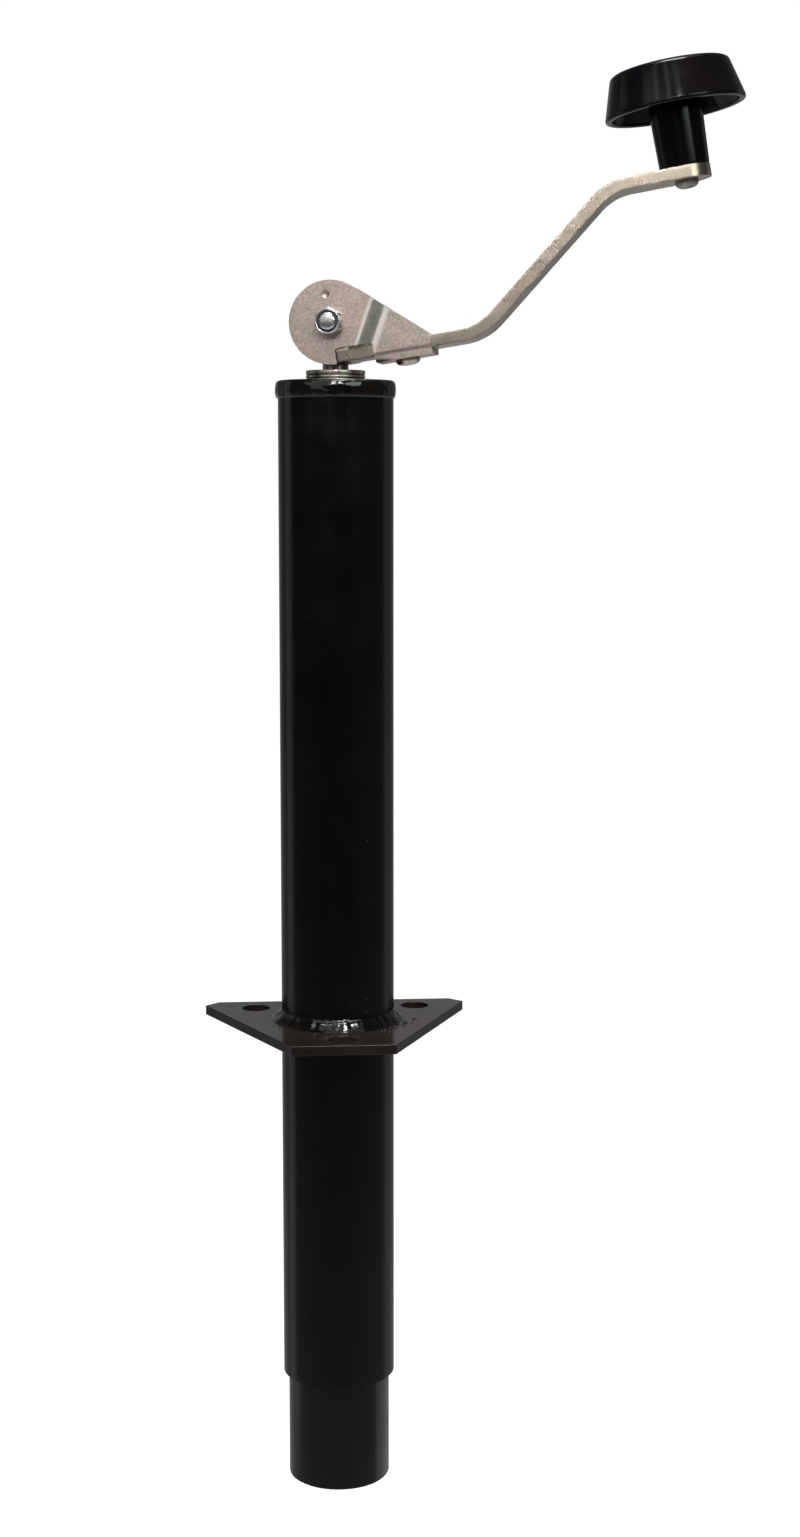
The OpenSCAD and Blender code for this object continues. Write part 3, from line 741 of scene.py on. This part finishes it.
def bracket_rivet():
    bm = bmesh.new()
    lathe(rivet_head(6.2, 3.0, -1), False, 64, wobble(0.25, 1.5, 4.0), bm)
    grip = ARM_T + SHEET_T
    lathe([(r, z + grip) for r, z in rivet_head(6.0, 2.9)], False, 64, wobble(0.25, 1.5, 8.0), bm)
    lathe([(4, 0), (4, grip)], False, 48, None, bm)
    add_piece("domed_rivet", bm, ZINC, BODY["arm_rivet"], ["arm_rivet"], 50,
              LOW @ Matrix.Translation((RIVET_X, 0, -ARM_T / 2 - SHEET_T)))


def threads(bm, z_from, z_to, crest, root, pitch):
    """Plain grooves that read as a fine thread."""
    profile, z = [], z_from
    while z + pitch <= z_to:
        profile += [(root, z), (crest, z + pitch * 0.45), (crest, z + pitch * 0.6)]
        z += pitch
    profile += [(root, z), (root - 0.5, z_to - 0.1), (0, z_to)]
    return lathe(profile, False, 48, None, bm)


def pivot_fastener():
    flats, bolt_r = 12.7, 3.97
    head_h, nut_h, collar_h, past = 5.3, 6.2, 2.2, 1.4
    bolt = bmesh.new()
    corner_r = flats / 2 / math.cos(math.pi / 6)
    head = [(0, -head_h), (flats / 2 - 0.6, -head_h), (corner_r, -head_h + 1.3), (corner_r, -0.4),
            (flats / 2 - 0.2, 0), (0, 0)]
    lathe(rounded(head, [0, 0.4, 0, 0, 0.2, 0], 4, False), False, 96, hexed(flats), bolt)
    for v in bolt.verts:
        v.co.z -= EAR_OUT
    reach = EAR_OUT + nut_h + collar_h + past
    lathe([(bolt_r, -EAR_OUT), (bolt_r, EAR_OUT - 1)], False, 48, None, bolt)
    threads(bolt, EAR_OUT - 1, reach, bolt_r, bolt_r - 0.45, 1.06)
    add_piece("hex_bolt", bolt, BRIGHT, BODY["pivot_bolt"], ["pivot_bolt"], 35,
              along_fold(0))
    nut = bmesh.new()
    collar_r = flats / 2 - 0.15
    outer = [(bolt_r, 0), (flats / 2 - 0.2, 0), (corner_r, 0.9), (corner_r, nut_h - 1.2),
             (flats / 2 - 0.1, nut_h - 0.2), (collar_r, nut_h + 0.4),
             (collar_r - 0.1, nut_h + collar_h - 0.2),
             (collar_r - 0.5, nut_h + collar_h), (collar_r - 1.0, nut_h + collar_h - 0.2),
             (collar_r - 1.1, nut_h + 0.2), (bolt_r + 0.05, nut_h)]
    easing = [0.3, 0.3, 0, 0, 0.3, 0.4, 0.3, 0.3, 0.2, 0.1, 0]
    lathe(rounded(outer, easing, 4), True, 96, hexed(flats), nut)
    add_piece("locking_nut", nut, BRIGHT, BODY["pivot_nut"], ["pivot_nut"], 35,
              along_fold(EAR_OUT))


def knob_rivet():
    """Riveted end of the spindle under the bar, the shank, and the tip that holds the knob."""
    bm = bmesh.new()
    tail = [(r, z - ARM_T) for r, z in rivet_head(5.85, 3.6, -1)]
    lathe(tail, False, 64, wobble(0.3, 1.7, 14.0), bm)
    shank_r, tip_r, tip_z, tip_h = 5, 6.2, 39.5, 3.0
    lathe([(shank_r, -ARM_T), (shank_r, tip_z), (tip_r, tip_z), (tip_r, tip_z + tip_h - 0.8),
           (tip_r - 0.8, tip_z + tip_h), (0, tip_z + tip_h)], False, 48, None, bm)
    add_piece("riveted_spindle", bm, STEEL, BODY["knob_spindle"], ["knob_spindle"], 35,
              KNOB)


bracket_rivet()
pivot_fastener()
knob_rivet()

# ---------------------------------------------------------------- knob


def knob():
    rim_r, height, rim_h, stem_r, wall = 33.8, 47.6, 26.8, 12.0, 3.0
    draft = math.tan(math.radians(15.3))
    shoulder_r = rim_r - (height - rim_h - 1.5) * draft
    under = height - 6
    profile = [(0, height - 0.25), (shoulder_r - 9, height - 0.15), (shoulder_r - 1.5, height),
               (shoulder_r + 0.2, height - 1.2), (rim_r, rim_h + 1.6), (rim_r - 0.3, rim_h + 0.05),
               (rim_r - wall, rim_h), (rim_r - wall - 0.4, rim_h + 1.8), (shoulder_r - 4.6, under),
               (stem_r + 1.2, under), (stem_r, 0.4), (5.1, 0.4), (5.1, 39.3), (6.6, 39.3), (6.6, 42.8),
               (0, 42.8)]
    radii = [0, 3, 3.0, 5.0, 1.2, 0.9, 0.9, 0.8, 2.5, 2, 0.7, 0.3, 0, 0, 0, 0]

    def moulded(a, r, z):
        swirl = noise.noise(Vector((math.cos(a) * 1.3, math.sin(a) * 1.3, z * 0.03)))
        outside = 1.0 if r > 20 and z > rim_h + 2 else 0.0
        return r - 0.12 * outside * (0.5 + swirl), z

    bm = lathe(rounded(profile, radii, 7, False), False, 192, moulded)
    add_piece("moulded_knob", bm, PLASTIC, BODY["knob"], ["knob"], 40, KNOB)


knob()

# ---------------------------------------------------------------- finishes of the carried-over nodes

FINISHES = {
    "foot_weld": WELD, "nut_weld": STEEL, "guide_pin": WELD,
    "collar_pin": STEEL, "stop_pin": STEEL,
    "bearing_cage": BRASS, "bearing_balls": STEEL, "nut_insert": NYLON,
}
for node_name, material in FINISHES.items():
    NODES[node_name].material_slots[0].material = material

# ---------------------------------------------------------------- floor, light and camera


def stage():
    """Pale floor just under the foot of the fully extended ram."""
    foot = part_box("inner_tube")[0].z - JOINTS["ram_slide"]["range_m"][1] - 0.001
    bpy.ops.mesh.primitive_plane_add(size=40, location=(0, 0, foot))
    floor = bpy.context.object
    floor.name = "floor"
    f = Finish("floor", (0.93, 0.93, 0.93), 0.8)
    f.shader.inputs["Emission Color"].default_value = (1, 1, 1, 1)
    f.shader.inputs["Emission Strength"].default_value = 1.0
    f.shader.inputs["Specular IOR Level"].default_value = 0.0
    floor.data.materials.append(f.material)
    floor.visible_glossy = False
    floor.visible_diffuse = False


def surroundings():
    """White behind the object; dim, uneven studio walls for everything that it mirrors."""
    world = bpy.data.worlds.new("studio")
    bpy.context.scene.world = world
    world.use_nodes = True
    nodes, links = world.node_tree.nodes, world.node_tree.links
    nodes.clear()
    out = nodes.new("ShaderNodeOutputWorld")
    seen = nodes.new("ShaderNodeBackground")
    seen.inputs["Color"].default_value = (1, 1, 1, 1)
    seen.inputs["Strength"].default_value = 1.0
    lit = nodes.new("ShaderNodeBackground")
    coords = nodes.new("ShaderNodeTexCoord")
    axes = nodes.new("ShaderNodeSeparateXYZ")
    links.new(coords.outputs["Generated"], axes.inputs[0])

    def graded(axis, *stops):
        """Brightness of the walls along one axis, from -1 to 1."""
        shift = nodes.new("ShaderNodeMapRange")
        shift.inputs["From Min"].default_value = -1
        links.new(axes.outputs[axis], shift.inputs["Value"])
        ramp = nodes.new("ShaderNodeValToRGB")
        links.new(shift.outputs["Result"], ramp.inputs["Fac"])
        while len(ramp.color_ramp.elements) < len(stops):
            ramp.color_ramp.elements.new(0.5)
        for element, (place, tone) in zip(ramp.color_ramp.elements, stops):
            element.position = place / 2 + 0.5
            element.color = (tone, tone, tone, 1)
        return ramp.outputs["Color"]

    def total(a, b):
        add = nodes.new("ShaderNodeVectorMath")
        links.new(a, add.inputs[0])
        links.new(b, add.inputs[1])
        return add.outputs["Vector"]

    low = graded("Z", (-1, 0.85), (-0.75, 0.7), (-0.5, 0.3), (-0.28, 0.1), (-0.1, 0.02), (0.3, 0.02))
    back = graded("Y", (0.35, 0.0), (0.85, 0.1), (1, 0.3))
    right = graded("X", (-0.9, 0.03), (-0.5, 0.0), (0.35, 0.0), (0.8, 0.04))
    links.new(total(total(low, back), right), lit.inputs["Color"])
    path = nodes.new("ShaderNodeLightPath")
    mix = nodes.new("ShaderNodeMixShader")
    links.new(path.outputs["Is Camera Ray"], mix.inputs["Fac"])
    links.new(lit.outputs[0], mix.inputs[1])
    links.new(seen.outputs[0], mix.inputs[2])
    links.new(mix.outputs[0], out.inputs["Surface"])


def softbox(name, place, target, width, height, watts, colour=(1, 1, 1)):
    data = bpy.data.lights.new(name, "AREA")
    data.shape = "RECTANGLE"
    data.size, data.size_y = width, height
    data.energy = watts
    data.color = colour
    light = bpy.data.objects.new(name, data)
    light.location = place
    light.rotation_euler = (Vector(target) - Vector(place)).to_track_quat("-Z", "Y").to_euler()
    bpy.context.scene.collection.objects.link(light)


def lights():
    head = (0.05, 0, 0.36)
    softbox("front_left", (-0.95, -1.35, 1.02), head, 1.9, 1.1, 5.0)
    softbox("front_right", (0.75, -1.25, 0.86), head, 0.7, 0.5, 4.2, (0.86, 1, 0.92))
    softbox("strip", (0.02, -1.1, 0.98), head, 0.1, 0.5, 3.4)
    softbox("overhead", (0.1, -0.1, 1.7), (0.05, 0, 0.2), 1.3, 1.3, 4)
    softbox("skylight", (0.11, -0.2, 0.92), (0.17, -0.03, 0.47), 0.26, 0.14, 3.6)
    softbox("key", (-0.12, -0.62, 1.5), (0, 0, 0.2), 1.0, 0.035, 4.5, (1, 0.99, 0.97))
    softbox("bar_low", (-0.1, -1.25, 0.76), (0, 0, 0.3), 0.8, 0.02, 1.4)
    softbox("window_near", (-0.45, -1.2, 1.35), (0.17, 0, 0.46), 0.1, 0.4, 0.35)
    softbox("window_far", (-0.9, -1.0, 1.3), (0.17, 0, 0.46), 0.12, 0.4, 0.25)
    softbox("rim_left", (-1.3, 0.55, 0.1), (0, 0, 0.1), 0.5, 1.9, 0.8)
    softbox("rim_right", (1.3, 0.6, 0.1), (0, 0, 0.1), 0.5, 1.9, 0.4)


def camera():
    data = bpy.data.cameras.new("camera")
    data.sensor_width = 36
    data.sensor_fit = "AUTO"
    data.lens = 54.29
    data.clip_end = 100
    eye = bpy.data.objects.new("camera", data)
    yaw, pitch = math.radians(4.5), math.radians(7.354)
    eye.location = (-0.0592, -1.1565, 0.2822)
    aim = Vector((math.sin(yaw) * math.cos(pitch), math.cos(yaw) * math.cos(pitch), -math.sin(pitch)))
    eye.rotation_euler = aim.to_track_quat("-Z", "Y").to_euler()
    bpy.context.scene.collection.objects.link(eye)
    bpy.context.scene.camera = eye


stage()
surroundings()
lights()
camera()
bpy.context.scene.view_settings.view_transform = "Standard"
